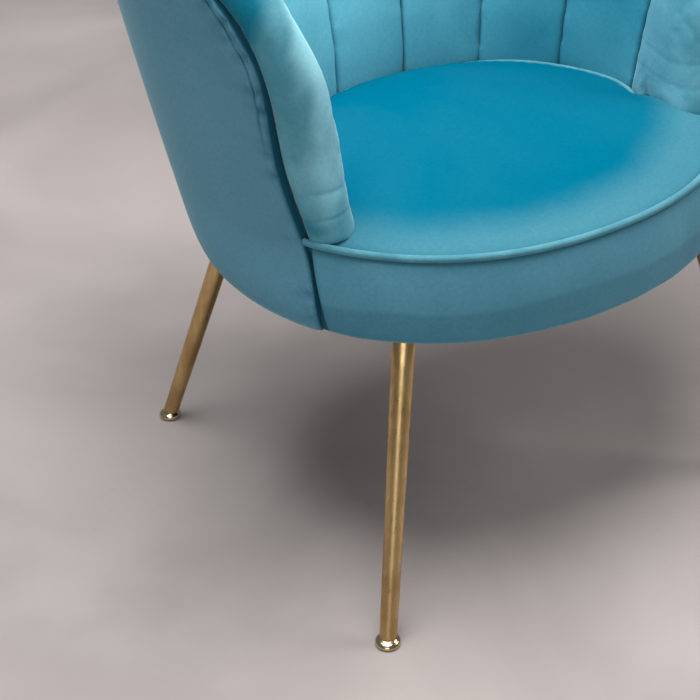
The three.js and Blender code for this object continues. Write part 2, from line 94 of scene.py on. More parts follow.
def smooth(x):
    c = clamp(x)
    return c * c * (3 - 2 * c)


def bell(x, width):
    return math.exp(-(x / width) ** 2)


def fade(distance, length):
    return math.exp(-distance / length)


def from_back(angle):
    """The angle from the middle of the back, 0 to 180 on either side."""
    return abs((angle + 180) % 360 - 180)


def reach(angle, outline):
    """Distance from the middle of the base to an outline, at an angle from the back."""
    rx, ry, power, middle = outline
    x, y = math.sin(math.radians(angle)), math.cos(math.radians(angle))
    inside, outside = 0.0, 2 * rx
    for _ in range(26):
        r = (inside + outside) / 2
        if abs(r * x / rx) ** power + abs((r * y - middle) / ry) ** power < 1:
            inside = r
        else:
            outside = r
    return inside


TABLES = {o: [reach(i / 2, o) for i in range(362)] for o in (RIM, BAND, WELL)}


def plan(angle, outline):
    """reach, read from a table with a step of half a degree."""
    a = from_back(angle) * 2
    i = int(a)
    return mix(TABLES[outline][i], TABLES[outline][i + 1], a - i)


def outer_radius(angle, z):
    h = z - RIM_Z
    a = from_back(angle)
    flare = 0.26 * h - 0.069 * h * h + 0.008 * (1 - math.exp(-h / 0.020))
    return plan(angle, RIM) + flare - 0.024 * smooth((a - 60) / 54.5) * smooth(h / 0.095)


def edge_height(angle):
    turn = math.radians(85.5 * clamp(abs(angle) / LAST_SEAM))
    return mix(ARM_EDGE_Z, BACK_EDGE_Z, math.cos(turn) ** 2)


def front_angle(z):
    return mix(ARM_FRONT_LOW, ARM_FRONT, smooth((z - RIM_Z) / 0.2))


def well_radius(angle):
    return plan(angle, WELL) - 0.020 * smooth((abs(angle) - 85) / 24)


def wall(angle, z):
    """Thickness from the outer surface to the channels' seams."""
    arm = smooth((abs(angle) - 70) / 40)
    top = edge_height(angle)
    lean = outer_radius(angle, top) - mix(0.082, 0.077, arm) - well_radius(angle)
    share = max(0.0, (z - PIPING_Z) / (top - PIPING_Z)) ** mix(1.7, 1.05, arm)
    return outer_radius(angle, z) - well_radius(angle) - lean * share


def seat_radius(angle):
    """Plan radius of the seat: snug to the channels behind, out to the front band in front."""
    a = from_back(angle)
    return mix(well_radius(a) - 0.004, plan(a, BAND) + corner_fill(a), smooth((a - 98) / 8))


def corner_fill(angle):
    """The front band is fuller beside the arms, to come out flush with the outer cover."""
    a = from_back(angle)
    return 0.010 * smooth((a - 105) / 5) * (1 - smooth((a - 112) / 15))


def corner_lift(angle):
    """The seat's edge rises a little where it meets the arms, and more along the back."""
    a = from_back(angle)
    return 0.5 * corner_fill(a) + 0.008 * (1 - smooth((a - 95) / 9))


def polar(angle, radius, z):
    a = math.radians(angle)
    return Vector((radius * math.sin(a), BASE_Y + radius * math.cos(a), z))


def angle_of(p):
    return math.degrees(math.atan2(p.x, p.y - BASE_Y))


def radius_of(p):
    return math.hypot(p.x, p.y - BASE_Y)


# ---- Nodes and materials ----
def node(tree, kind, links=None, **settings):
    """A shader node. links gives its inputs, as sockets or as values."""
    n = tree.nodes.new("ShaderNode" + kind)
    for key, value in settings.items():
        setattr(n, key, value)
    for key, value in (links or {}).items():
        if isinstance(value, bpy.types.NodeSocket):
            tree.links.new(value, n.inputs[key])
        else:
            n.inputs[key].default_value = value
    return n


def new_material(name):
    m = bpy.data.materials.new(name)
    m.use_nodes = True
    m.node_tree.nodes.clear()
    return m, m.node_tree


def finish_material(tree, bsdf):
    node(tree, "OutputMaterial", {"Surface": bsdf.outputs[0]})


def position(tree, scale=(1, 1, 1)):
    coords = node(tree, "TexCoord").outputs["Object"]
    return node(tree, "Mapping", {"Vector": coords, "Scale": scale}).outputs[0]


def noise_value(tree, vector, scale, detail=2.0, distortion=0.0):
    links = {"Vector": vector, "Scale": scale, "Detail": detail, "Distortion": distortion}
    return node(tree, "TexNoise", links).outputs["Fac"]


def spread(tree, value, low, high, to_low=0.0, to_high=1.0):
    links = {0: value, 1: low, 2: high, 3: to_low, 4: to_high}
    return node(tree, "MapRange", links, interpolation_type="SMOOTHSTEP").outputs[0]


def blend(tree, factor, first, second, mode="MIX"):
    n = node(tree, "Mix", {"Factor": factor}, data_type="RGBA", blend_type=mode)
    for socket, value in ((n.inputs[6], first), (n.inputs[7], second)):
        if isinstance(value, bpy.types.NodeSocket):
            tree.links.new(value, socket)
        else:
            socket.default_value = value
    return n.outputs[2]


def darker(tree, colour, tint):
    return blend(tree, 1.0, colour, tint, "MULTIPLY")


def maths(tree, operation, first, second=0.0):
    return node(tree, "Math", {0: first, 1: second}, operation=operation).outputs[0]


def bump(tree, height, strength, distance, below=None):
    links = {"Height": height, "Strength": strength, "Distance": distance}
    if below is not None:
        links["Normal"] = below
    return node(tree, "Bump", links).outputs[0]


def rgb(r, g, b):
    return (r, g, b, 1.0)


def velvet(name, deep, light, sheen=0.4, painted_light_patches=(), base=0.3, clouds=0.3, scale=6.0, painted_shade_zone=None,
           gloss=0.12, wander=0.04):
    """Short-pile fabric. Its colour turns from deep to light where the nap lies over, in soft clouds.
    In patches given as (centre, radii, strength), which fade over a share of their radii that may
    follow, it gets a painted highlight, or painted shade where strength is below 0. The mesh's crease
    shade attribute paints shade into its creases and holds back the sheen there, and the zone argument,
    (height, depth), paints shade under a height."""
    m, t = new_material(name)
    p = position(t)
    drift = noise_value(t, p, scale, 3.0, 0.6)
    share = spread(t, drift, 0.30, 0.70, base - clouds / 2, base + clouds / 2)
    stray = node(t, "TexNoise", {"Vector": p, "Scale": 14.0}).outputs["Color"]
    stray = node(t, "VectorMath", {0: stray, 1: (0.5, 0.5, 0.5)}, operation="SUBTRACT").outputs[0]
    stray = node(t, "VectorMath", {0: stray, "Scale": wander}, operation="SCALE").outputs[0]
    stray = node(t, "VectorMath", {0: p, 1: stray}, operation="ADD").outputs[0]
    # Painted highlights in the given patches, and painted shade where strength is below 0.
    for centre, radii, strength, *limits in painted_light_patches:
        away = node(t, "VectorMath", {0: stray, 1: centre}, operation="SUBTRACT").outputs[0]
        away = node(t, "VectorMath", {0: away, 1: radii}, operation="DIVIDE").outputs[0]
        away = node(t, "VectorMath", {0: away}, operation="LENGTH").outputs["Value"]
        share = maths(t, "ADD", share, spread(t, away, *(limits or (1.0, 0.25)), 0.0, strength))
    colour = blend(t, share, deep, light)
    # Painted shade under a height, where the surface turns under.
    if painted_shade_zone:
        height, depth = painted_shade_zone
        z = node(t, "SeparateXYZ", {0: p}).outputs[2]
        z = maths(t, "ADD", z, maths(t, "MULTIPLY", noise_value(t, p, 7.0), 0.02))
        zone = spread(t, z, height + 0.012, height + 0.004, 0.0, depth)
        colour = blend(t, zone, colour, darker(t, colour, rgb(0.55, 0.62, 0.64)))
    pile = noise_value(t, p, 1500.0, 2.0)
    tufts = noise_value(t, p, 260.0, 3.0)
    fluff = maths(t, "ADD", maths(t, "MULTIPLY", pile, 0.5), maths(t, "MULTIPLY", tufts, 0.5))
    speckle = spread(t, fluff, 0.3, 0.7)
    colour = blend(t, speckle, darker(t, colour, rgb(0.84, 0.86, 0.87)), colour)
    edge = spread(t, node(t, "NewGeometry").outputs["Pointiness"], 0.53, 0.60, 0.0, 0.25)
    colour = blend(t, edge, colour, light)
    # Painted shade in creases, read from the mesh's crease shade attribute.
    crease = node(t, "Attribute", attribute_name="crease_shade").outputs["Fac"]
    colour = blend(t, crease, colour, darker(t, colour, rgb(0.05, 0.30, 0.36)))
    sheen = maths(t, "MULTIPLY", maths(t, "SUBTRACT", 1.0, crease), sheen)
    normal = bump(t, pile, 0.25, 0.0006, bump(t, tufts, 0.20, 0.0008))
    links = {"Base Color": colour, "Roughness": 0.85, "Specular IOR Level": gloss, "IOR": 1.12,
             "Sheen Weight": sheen, "Sheen Roughness": 0.38, "Sheen Tint": rgb(0.55, 0.80, 0.86),
             "Normal": normal}
    finish_material(t, node(t, "BsdfPrincipled", links))
    return m


def brass(name, base, dark, roughness, streaks=0.25):
    """Satin brass, brushed along the leg, with a little patina."""
    m, t = new_material(name)
    brushed = noise_value(t, position(t, (240, 240, 5)), 1.0, 4.0)
    cloudy = noise_value(t, position(t), 22.0, 3.0, 0.4)
    colour = blend(t, spread(t, cloudy, 0.35, 0.75, 0.0, 0.75), base, dark)
    colour = blend(t, spread(t, brushed, 0.35, 0.65, 0.0, streaks), colour, dark)
    rough = spread(t, brushed, 0.2, 0.8, roughness - 0.06, roughness + 0.10)
    links = {"Base Color": colour, "Metallic": 1.0, "Roughness": rough,
             "Normal": bump(t, brushed, 0.08, 0.0003)}
    finish_material(t, node(t, "BsdfPrincipled", links))
    return m


def grained(name, first, second, roughness, scale, stretch=(1, 1, 1), metallic=0.0, depth=0.0005):
    """Plywood, steel, webbing, lining or the groove's strip, painted dark as shade: two tints mixed by
    a stretched noise.
    """
    m, t = new_material(name)
    grain = noise_value(t, position(t, stretch), scale, 5.0, 0.5)
    fine = noise_value(t, position(t), scale * 9, 2.0)
    colour = blend(t, spread(t, grain, 0.3, 0.7), first, second)
    specks = spread(t, fine, 0.35, 0.7, 0.0, 0.3)
    colour = blend(t, specks, colour, darker(t, colour, rgb(0.6, 0.6, 0.6)))
    links = {"Base Color": colour, "Metallic": metallic, "Roughness": roughness,
             "Normal": bump(t, fine, 0.4, depth)}
    finish_material(t, node(t, "BsdfPrincipled", links))
    return m


# One teal velvet covers the chair. Each piece below gets its own deep and light colours, set to how lit
# or shaded that piece is. These are lit and shaded copies of one velvet, with light and shade painted
# into the colour.
VELVET_SIDE = velvet(
    "velvet_side", rgb(0.080, 0.245, 0.345), rgb(0.190, 0.430, 0.550), 0.35, (), 0.35, 0.35, 3.0)
# Painted shade: the band's lower part, which turns under, is darker below 0.349 m.
VELVET_BAND = velvet(
    "velvet_band", rgb(0.060, 0.235, 0.330), rgb(0.170, 0.420, 0.530), 0.35, (), 0.4, 0.3, 5.0,
    (0.349, 0.45))
# Painted highlight: the seat is lighter towards its front edge.
VELVET_SEAT = velvet(
    "velvet_seat", rgb(0.0, 0.132, 0.215), rgb(0.125, 0.310, 0.350), 0.0,
    [((-0.012, 0.025, 0.41), (0.300, 0.300, 9.0), 0.42, 0.81, 1.0)],
    0.02, 0.06, 4.0, None, 0.04, 0.02)
# Painted highlight on the channels to the left, which face the key light, and painted shade on those to
# the right.
VELVET_BACK = velvet(
    "velvet_back", rgb(0.030, 0.235, 0.330), rgb(0.200, 0.640, 0.760), 0.40,
    [((-0.120, 0.120, 0.52), (0.26, 0.22, 0.40), 0.45),
     ((0.250, 0.020, 0.50), (0.16, 0.16, 0.35), -0.40)],
    0.38, 0.25, 6.0)
# Painted highlights on each roll's top and inner edge, and painted shade beside the groove and low
# down.
VELVET_ROLL = velvet(
    "velvet_roll", rgb(0.008, 0.170, 0.250), rgb(0.340, 0.720, 0.820), 0.50,
    [((side * 0.270, -0.152, 0.645), (0.042, 0.050, 0.100), 0.75) for side in (-1, 1)]
    + [((side * 0.340, -0.136, 0.665), (0.032, 0.060, 0.080), -0.36) for side in (-1, 1)]
    + [((side * 0.262, -0.168, 0.540), (0.030, 0.050, 0.140), 0.35) for side in (-1, 1)]
    + [((side * 0.285, -0.165, 0.430), (0.028, 0.030, 0.020), -0.25) for side in (-1, 1)],
    0.38, 0.30, 11.0)
VELVET_PIPING = velvet(
    "velvet_piping", rgb(0.050, 0.200, 0.265), rgb(0.125, 0.345, 0.410), 0.40, (), 0.5, 0.4, 30.0)
# Painted shade: a very dark teal for the shadow in the groove.
GROOVE_SHADE_CLOTH = grained("groove_shade_cloth", rgb(0.001, 0.075, 0.105), rgb(0.002, 0.110, 0.145), 0.95, 60.0)
BRASS = brass("satin_brass", rgb(0.62, 0.43, 0.20), rgb(0.36, 0.22, 0.085), 0.30)
POLISHED = brass("polished_glide", rgb(0.72, 0.60, 0.40), rgb(0.45, 0.33, 0.18), 0.14, 0.1)
STEEL = grained("steel", rgb(0.38, 0.38, 0.39), rgb(0.28, 0.28, 0.29), 0.42, 60.0, (1, 1, 1), 1.0)
PLYWOOD = grained("plywood", rgb(0.62, 0.43, 0.24), rgb(0.45, 0.29, 0.15), 0.7, 14.0, (1, 0.25, 6))
WEBBING = grained("webbing", rgb(0.030, 0.027, 0.025), rgb(0.075, 0.068, 0.062), 0.9, 160.0,
                  (1, 4, 1), 0.0, 0.001)
LINING = grained("lining", rgb(0.011, 0.011, 0.013), rgb(0.028, 0.028, 0.032), 0.95, 220.0)


# ---- Mesh helpers ----
def make(name, verts, faces, material, *nodes, slot=None):
    mesh = bpy.data.meshes.new(name)
    mesh.from_pydata([tuple(v) for v in verts], [], faces)
    mesh.validate()
    obj = bpy.data.objects.new(name, mesh)
    SCENE.collection.objects.link(obj)
    mesh.materials.append(material)
    mesh.shade_smooth()
    return stand_for(obj, nodes, slot)


def stand_for(obj, nodes, slot):
    if nodes:
        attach(obj, "root")
        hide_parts(*nodes)
    return obj


def modified(obj, kind, **settings):
    """Adds a modifier, applies it and returns the same object."""
    mod = obj.modifiers.new(kind.lower(), kind)
    for key, value in settings.items():
        setattr(mod, key, value)
    return applied(obj)


def applied(obj):
    depsgraph = bpy.context.evaluated_depsgraph_get()
    mesh = bpy.data.meshes.new_from_object(obj.evaluated_get(depsgraph), depsgraph=depsgraph)
    obj.modifiers.clear()
    old, obj.data = obj.data, mesh
    bpy.data.meshes.remove(old)
    mesh.shade_smooth()
    return obj


def reshape(obj, move):
    """move(point, normal) returns where each vertex goes, and how much painted shade it gets in a
    crease.
    """
    normals = [n.vector.copy() for n in obj.data.vertex_normals]
    crease_shades = []
    for v, n in zip(obj.data.vertices, normals):
        v.co, crease_shade = move(v.co.copy(), n)
        crease_shades.append(clamp(crease_shade))
    set_crease_shades(obj, crease_shades)
    obj.data.update()
    return obj


def set_crease_shades(obj, crease_shades):
    obj.data.attributes.new("crease_shade", "FLOAT", "POINT").data.foreach_set("value", crease_shades)


def lattice_box(nu, nv, nt, place):
    """A closed box of small faces, each corner moved to place(u, v, t)."""
    index, verts, faces = {}, [], []

    def at(i, j, k):
        if (i, j, k) not in index:
            index[i, j, k] = len(verts)
            verts.append(place(i / nu, j / nv, k / nt))
        return index[i, j, k]

    for i in range(nu):
        for j in range(nv):
            faces.append((at(i, j, 0), at(i, j + 1, 0), at(i + 1, j + 1, 0), at(i + 1, j, 0)))
            faces.append((at(i, j, nt), at(i + 1, j, nt), at(i + 1, j + 1, nt), at(i, j + 1, nt)))
    for i in range(nu):
        for k in range(nt):
            faces.append((at(i, 0, k), at(i + 1, 0, k), at(i + 1, 0, k + 1), at(i, 0, k + 1)))
            faces.append((at(i, nv, k), at(i, nv, k + 1), at(i + 1, nv, k + 1), at(i + 1, nv, k)))
    for j in range(nv):
        for k in range(nt):
            faces.append((at(0, j, k), at(0, j, k + 1), at(0, j + 1, k + 1), at(0, j + 1, k)))
            faces.append((at(nu, j, k), at(nu, j + 1, k), at(nu, j + 1, k + 1), at(nu, j, k + 1)))
    return verts, faces


def ring_faces(rings, count, closed=True):
    """Quads between rings of count vertices each."""
    faces = []
    for r in range(rings - 1):
        for i in range(count if closed else count - 1):
            j = (i + 1) % count
            faces.append((r * count + i, r * count + j, (r + 1) * count + j, (r + 1) * count + i))
    return faces


def tube_faces(rings, count):
    """A closed tube of rings, with a cap at each end."""
    return ring_faces(rings, count) + [tuple(range(count))[::-1],
                                       tuple(range((rings - 1) * count, rings * count))]


def inflate(obj, held, most):
    """Fills a closed cover with air: cloth under pressure, held where held(point, normal) says,
    and no vertex goes further than most."""
    normals = [n.vector.copy() for n in obj.data.vertex_normals]
    start = [v.co.copy() for v in obj.data.vertices]
    group = obj.vertex_groups.new(name="held")
    for i, (p, n) in enumerate(zip(start, normals)):
        weight = held(p, n)
        if weight > 0:
            group.add([i], weight, "REPLACE")
    cloth = obj.modifiers.new("air", "CLOTH")
    settings = cloth.settings
    settings.vertex_group_mass = group.name
    settings.use_pressure = True
    settings.uniform_pressure_force = PRESSURE
    settings.effector_weights.gravity = 0
    settings.quality = 4
    settings.tension_stiffness = settings.compression_stiffness = 12
    settings.bending_stiffness = 0.4
    cloth.collision_settings.use_collision = False
    cloth.point_cache.frame_start, cloth.point_cache.frame_end = 1, CLOTH_END
    for f in range(1, CLOTH_END + 1):
        SCENE.frame_set(f)
    depsgraph = bpy.context.evaluated_depsgraph_get()
    ended = [v.co.copy() for v in obj.evaluated_get(depsgraph).data.vertices]
    obj.modifiers.clear()
    obj.vertex_groups.clear()
    SCENE.frame_set(1)
    for v, a, b in zip(obj.data.vertices, start, ended):
        step = b - a
        v.co = a + step * (most / step.length if step.length > most else 1)
    obj.data.update()
    return obj


def soft(name, verts, faces, material, voxel, held, most, *nodes):
    obj = make(name, verts, faces, material, *nodes, slot="velvet")
    modified(obj, "REMESH", mode="VOXEL", voxel_size=voxel, use_smooth_shade=True)
    modified(obj, "SMOOTH", factor=0.5, iterations=4)
    inflate(obj, held, most)
    modified(obj, "SUBSURF", levels=1, render_levels=1)
    return obj


def wave(p, scale, seed=0.0):
    return noise.noise(Vector((p.x * scale + seed, p.y * scale - seed, p.z * scale + 2 * seed)))


# ---- Camera, light and floor ----
MIDDLE = Vector((0, BASE_Y, 0))


def place_camera():
    data = bpy.data.cameras.new("camera")
    data.lens, data.sensor_width = 107.9, 36.0
    data.shift_x = -0.0007
    camera = bpy.data.objects.new("camera", data)
    SCENE.collection.objects.link(camera)
    camera.location = MIDDLE + Vector((-1.26696, -1.57806, 1.41799))
    aim = MIDDLE + Vector((-0.21256, -0.09055, 0.2575)) - camera.location
    camera.rotation_euler = aim.to_track_quat("-Z", "Y").to_euler()
    SCENE.camera = camera


def soft_light(name, at, aim, size, energy, colour):
    data = bpy.data.lights.new(name, "AREA")
    data.shape, data.size, data.energy, data.color = "DISK", size, energy, colour
    lamp = bpy.data.objects.new(name, data)
    SCENE.collection.objects.link(lamp)
    lamp.location = at
    lamp.rotation_euler = (Vector(aim) - Vector(at)).to_track_quat("-Z", "Y").to_euler()


def studio():
    soft_light("key", (2.1, -1.1, 2.3), (-0.1, 0, 0.5), 1.4, 30, (1.0, 0.985, 0.96))
    soft_light("overhead", (-0.35, 0.0, 2.7), (-0.05, -0.05, 0.4), 2.0, 98, (1.0, 1.0, 1.0))
    soft_light("front_fill", (-2.2, -2.4, 1.3), (0, 0, 0.4), 2.0, 22, (0.97, 0.985, 1.0))
    world = bpy.data.worlds.new("studio")
    SCENE.world = world
    world.use_nodes = True
    back = world.node_tree.nodes["Background"]
    back.inputs["Color"].default_value = rgb(0.86, 0.88, 0.92)
    back.inputs["Strength"].default_value = 0.20


def floor():
    m, t = new_material("pale_concrete")
    p = position(t)
    clouds = noise_value(t, p, 2.2, 4.0, 0.4)
    grit = noise_value(t, p, 160.0, 3.0)
    colour = blend(t, spread(t, clouds, 0.34, 0.70), rgb(0.345, 0.306, 0.295), rgb(0.455, 0.408, 0.393))
    colour = blend(t, spread(t, grit, 0.35, 0.75, 0.0, 0.12), colour, rgb(0.37, 0.335, 0.325))
    rough = spread(t, clouds, 0.2, 0.8, 0.42, 0.6)
    finish_material(t, node(t, "BsdfPrincipled", {"Base Color": colour, "Roughness": rough,
                                                 "Normal": bump(t, grit, 0.05, 0.001)}))
    size, steps = 14.0, 28
    verts = [((i / steps - 0.5) * size, (j / steps - 0.5) * size, 0.0)
             for j in range(steps + 1) for i in range(steps + 1)]
    obj = make("floor", verts, ring_faces(steps + 1, steps + 1, closed=False), m)


# ---- Channels of the back ----
def pad_profile(angle, across):
    """The section of a channel at an angle, as (depth in the wall, height) round it."""
    top = edge_height(angle)
    rise = PAD_TOP_RISE * (1 - 0.3 * across ** 2)
    belly = PAD_BELLY * (1 - across ** 2)
    points = []
    for i in range(15):  # up the inner face
        z = mix(DECK_Z + 0.002, top, i / 14)
        points.append((wall(angle, z) + belly, z))
    thick = wall(angle, top) + belly - GROOVE
    for i in range(1, 13):  # over the top
        turn = math.pi * i / 12
        lift = rise * math.sin(turn)
        lean = wall(angle, top + lift) - wall(angle, top)
        depth = GROOVE + thick * (1 + math.cos(turn)) / 2 + lean * (1 + math.cos(turn)) / 2
        points.append((depth, top + lift))
    points += [(GROOVE + 0.001, top - 0.006), (GROOVE + 0.004, top - 0.014), (0.024, top - 0.024)]
    for i in range(8):  # down the back
        points.append((PAD_BACK, mix(top - 0.04, DECK_Z + 0.002, i / 7)))
    return points


def channel_pad(index):
    low, high = SEAMS[index], SEAMS[index + 1]
    steps = 12
    verts, count = [], 0
    for i in range(steps + 1):
        angle = mix(low - 0.12, high + 0.12, i / steps)
        section = pad_profile(angle, 2 * i / steps - 1)
        count = len(section)
        verts += [polar(angle, outer_radius(angle, z) - d, z) for d, z in section]
    faces = ring_faces(steps + 1, count)
    faces.append(tuple(range(count)))
    faces.append(tuple(range(steps * count, (steps + 1) * count))[::-1])

    def seam_distance(p):
        a = angle_of(p)
        return math.radians(min(a - low, high - a)) * radius_of(p)

    def held(p, n):
        depth = outer_radius(angle_of(p), p.z) - radius_of(p)
        top = edge_height(angle_of(p))
        if FRAME_ZONE[0] < depth < FRAME_ZONE[1] and p.z < top - 0.01:
            return 1.0
        if p.z < PIPING_Z - 0.006 or (depth < 0.02 and p.z < top + 0.002):
            return 1.0
        return 1.0 if seam_distance(p) < SEAM_HELD else 0.0

    number = index + 1
    obj = soft(f"channel_{number}", verts, faces, VELVET_BACK, FINE_VOXEL, held, SWELL,
               f"channel_pad_{number}")

    middle, half = (low + high) / 2, (high - low) / 2

    def crease(p, n):
        across = (angle_of(p) - middle) / half
        p = polar(angle_of(p) + 0.2 * across ** 3, radius_of(p), p.z)
        d = max(0.0, seam_distance(p))
        near = fade(d, 0.016)
        up = Vector((0.0, 0.0, p.z * 34.0))
        seed = 3.0 if angle_of(p) > middle else 9.0
        pull = noise.noise(up + Vector((index * 7.0, seed, 0)))
        broad = noise.noise(Vector((p.x * 7, p.y * 7, p.z * 5 + index)))
        step = 0.0010 * near * pull - 0.0008 * fade(d, 0.004) + 0.0012 * broad * (1 - near)
        # Painted shade beside the seams.
        return p + n * step, 0.4 * fade(d, 0.0018)

    reshape(obj, crease)
    return obj


# ---- Arm rolls ----
def arm_roll(side, name):
    def place(u, v, t):
        corner = clamp((v - 0.5) / 0.5)
        along = u * math.sqrt(1 - corner ** 2 / 2)
        up = corner * math.sqrt(1 - u ** 2 / 2)
        lowest = mix(DECK_Z + 0.006, ROLL_LOWEST, smooth((mix(LAST_SEAM, ARM_FRONT, u) - 97) / 4))
        sheet_z = CORNER_Z + CORNER_HEIGHT * up if corner > 0 else mix(lowest, CORNER_Z, v / 0.5)
        sheet_angle = mix(LAST_SEAM - 0.05, front_angle(sheet_z), along)
        free = u == 1 or v == 1
        share = (1 - math.cos(math.pi * t)) / 2 if free else t
        forwards = along if corner > 0 else 1
        upwards = up * 95 / 155 if corner > 0 else 0
        length = math.hypot(forwards, upwards)
        out = ROLL_BULGE * math.sin(math.pi * t) if free else 0.0
        inside = (1 - max(u, corner)) * 0.08
        near = mix(ROLL_INSET, PAD_BACK, smooth(inside / 0.02))
        z = sheet_z + out * upwards / length
        angle = sheet_angle + math.degrees(out * forwards / length / outer_radius(sheet_angle, z))
        taper = 0.012 * smooth((z - 0.56) / 0.09) - 0.006 * bell(z - 0.50, 0.05)
        thick = wall(sheet_angle, z) - near - taper * u
        p = polar(angle, outer_radius(sheet_angle, z) - near - share * thick, z)
        return Vector((side * p.x, p.y, p.z))

    verts, faces = lattice_box(14, 40, 16, place)
    if side < 0:
        faces = [f[::-1] for f in faces]

    def held(p, n):
        a, r = abs(angle_of(p)), radius_of(p)
        depth = outer_radius(a, p.z) - r
        if (FRAME_ZONE[0] < depth < FRAME_ZONE[1] and a < front_angle(p.z) - 3
                and p.z < ARM_EDGE_Z - 0.015):
            return 1.0
        if math.radians(a - LAST_SEAM) * r < SEAM_HELD:
            return 1.0
        return 1.0 if depth < 0.014 and groove_distance(a, p.z) > -0.001 else 0.0

    obj = soft(f"roll_{name}", verts, faces, VELVET_ROLL, FINE_VOXEL, held, SWELL, f"arm_roll_{name}")

    def crease(p, n):
        a = abs(angle_of(p))
        d = max(0.0, math.radians(a - LAST_SEAM) * radius_of(p))
        inner = smooth((outer_radius(a, p.z) - radius_of(p) - 0.03) / 0.03)
        seam = -0.0016 * fade(d, 0.004) * inner
        low = smooth((0.53 - p.z) / 0.09)
        cross = noise.noise(Vector((p.x * 9, p.y * 9, p.z * 62)))
        broad = wave(p, 9.0, side)
        top = smooth((p.z - 0.62) / 0.06)
        swirl = noise.noise(Vector((p.x * 30, p.y * 30, p.z * 20)))
        step = seam + 0.0007 * low * cross + 0.0014 * broad + 0.0006 * top * swirl
        wrinkle, tight = 0.0, 1.0 if side < 0 else 0.4
        if abs(radius_of(p) * math.sin(math.radians(a))) < 0.30:
            for height, slope in ((0.468, 0.10), (0.437, -0.06)):
                z = height + slope * (abs(p.x) - 0.27) + 0.003 * wave(p, 25.0)
                wrinkle += tight * bell(p.z - z, 0.0022) * smooth((0.284 - abs(p.x)) / 0.014)
        # Painted shade at the seam against the channels and in the wrinkles.
        return p + n * (step - 0.0008 * wrinkle), 0.6 * fade(d, 0.0018) * inner + 0.15 * wrinkle

    reshape(obj, crease)
    return obj


# ---- Outer cover: a sheet with its edges folded into the groove ----
def groove_half(z):
    """How far the cover's folded edge stays back from the groove's line."""
    kink = 0.0012 * bell(z - 0.545, 0.02) - 0.0030 * bell(z - 0.605, 0.022)
    return 0.0080 + kink + 0.0030 * smooth((0.56 - z) / 0.06) * smooth((z - RIM_Z) / 0.09)


def cover_front(z):
    return front_angle(z) - math.degrees(groove_half(z) / 0.31)


def top_edge(s, cover=True):
    """A point of the half cover's top and rounded corner, as (angle, height), for s from 0 to 1."""
    split = 0.80
    back = 0.003 if cover else 0.0
    if s <= split:
        a = LAST_SEAM * s / split
        return a, edge_height(a) - back
    turn = math.pi / 2 * (s - split) / (1 - split)
    z = ARM_EDGE_Z - back - (CORNER_HEIGHT - back) * (1 - math.cos(turn))
    return mix(LAST_SEAM, cover_front(z) if cover else ARM_FRONT, math.sin(turn)), z


def edge_line(cover):
    """The whole edge of half the cover, or of the groove, from the middle of the back down."""
    line = [top_edge(i / 240, cover) for i in range(241)]
    for i in range(1, 91):
        z = mix(CORNER_Z, RIM_Z, i / 90)
        line.append((cover_front(z) if cover else front_angle(z), z))
    return [polar(a, outer_radius(a, z), z) for a, z in line]


COVER_LINE, GROOVE_LINE = edge_line(True), edge_line(False)


def groove_distance(angle, z):
    """Distance inside the groove's line at an angle and height, negative beyond it."""
    a = abs(angle)
    if z <= CORNER_Z:
        return math.radians(front_angle(z) - a) * 0.3
    if a <= LAST_SEAM:
        return edge_height(a) - z
    forward = (a - LAST_SEAM) / (ARM_FRONT - LAST_SEAM)
    upward = (z - CORNER_Z) / CORNER_HEIGHT
    return (1 - math.hypot(forward, upward)) * 0.085


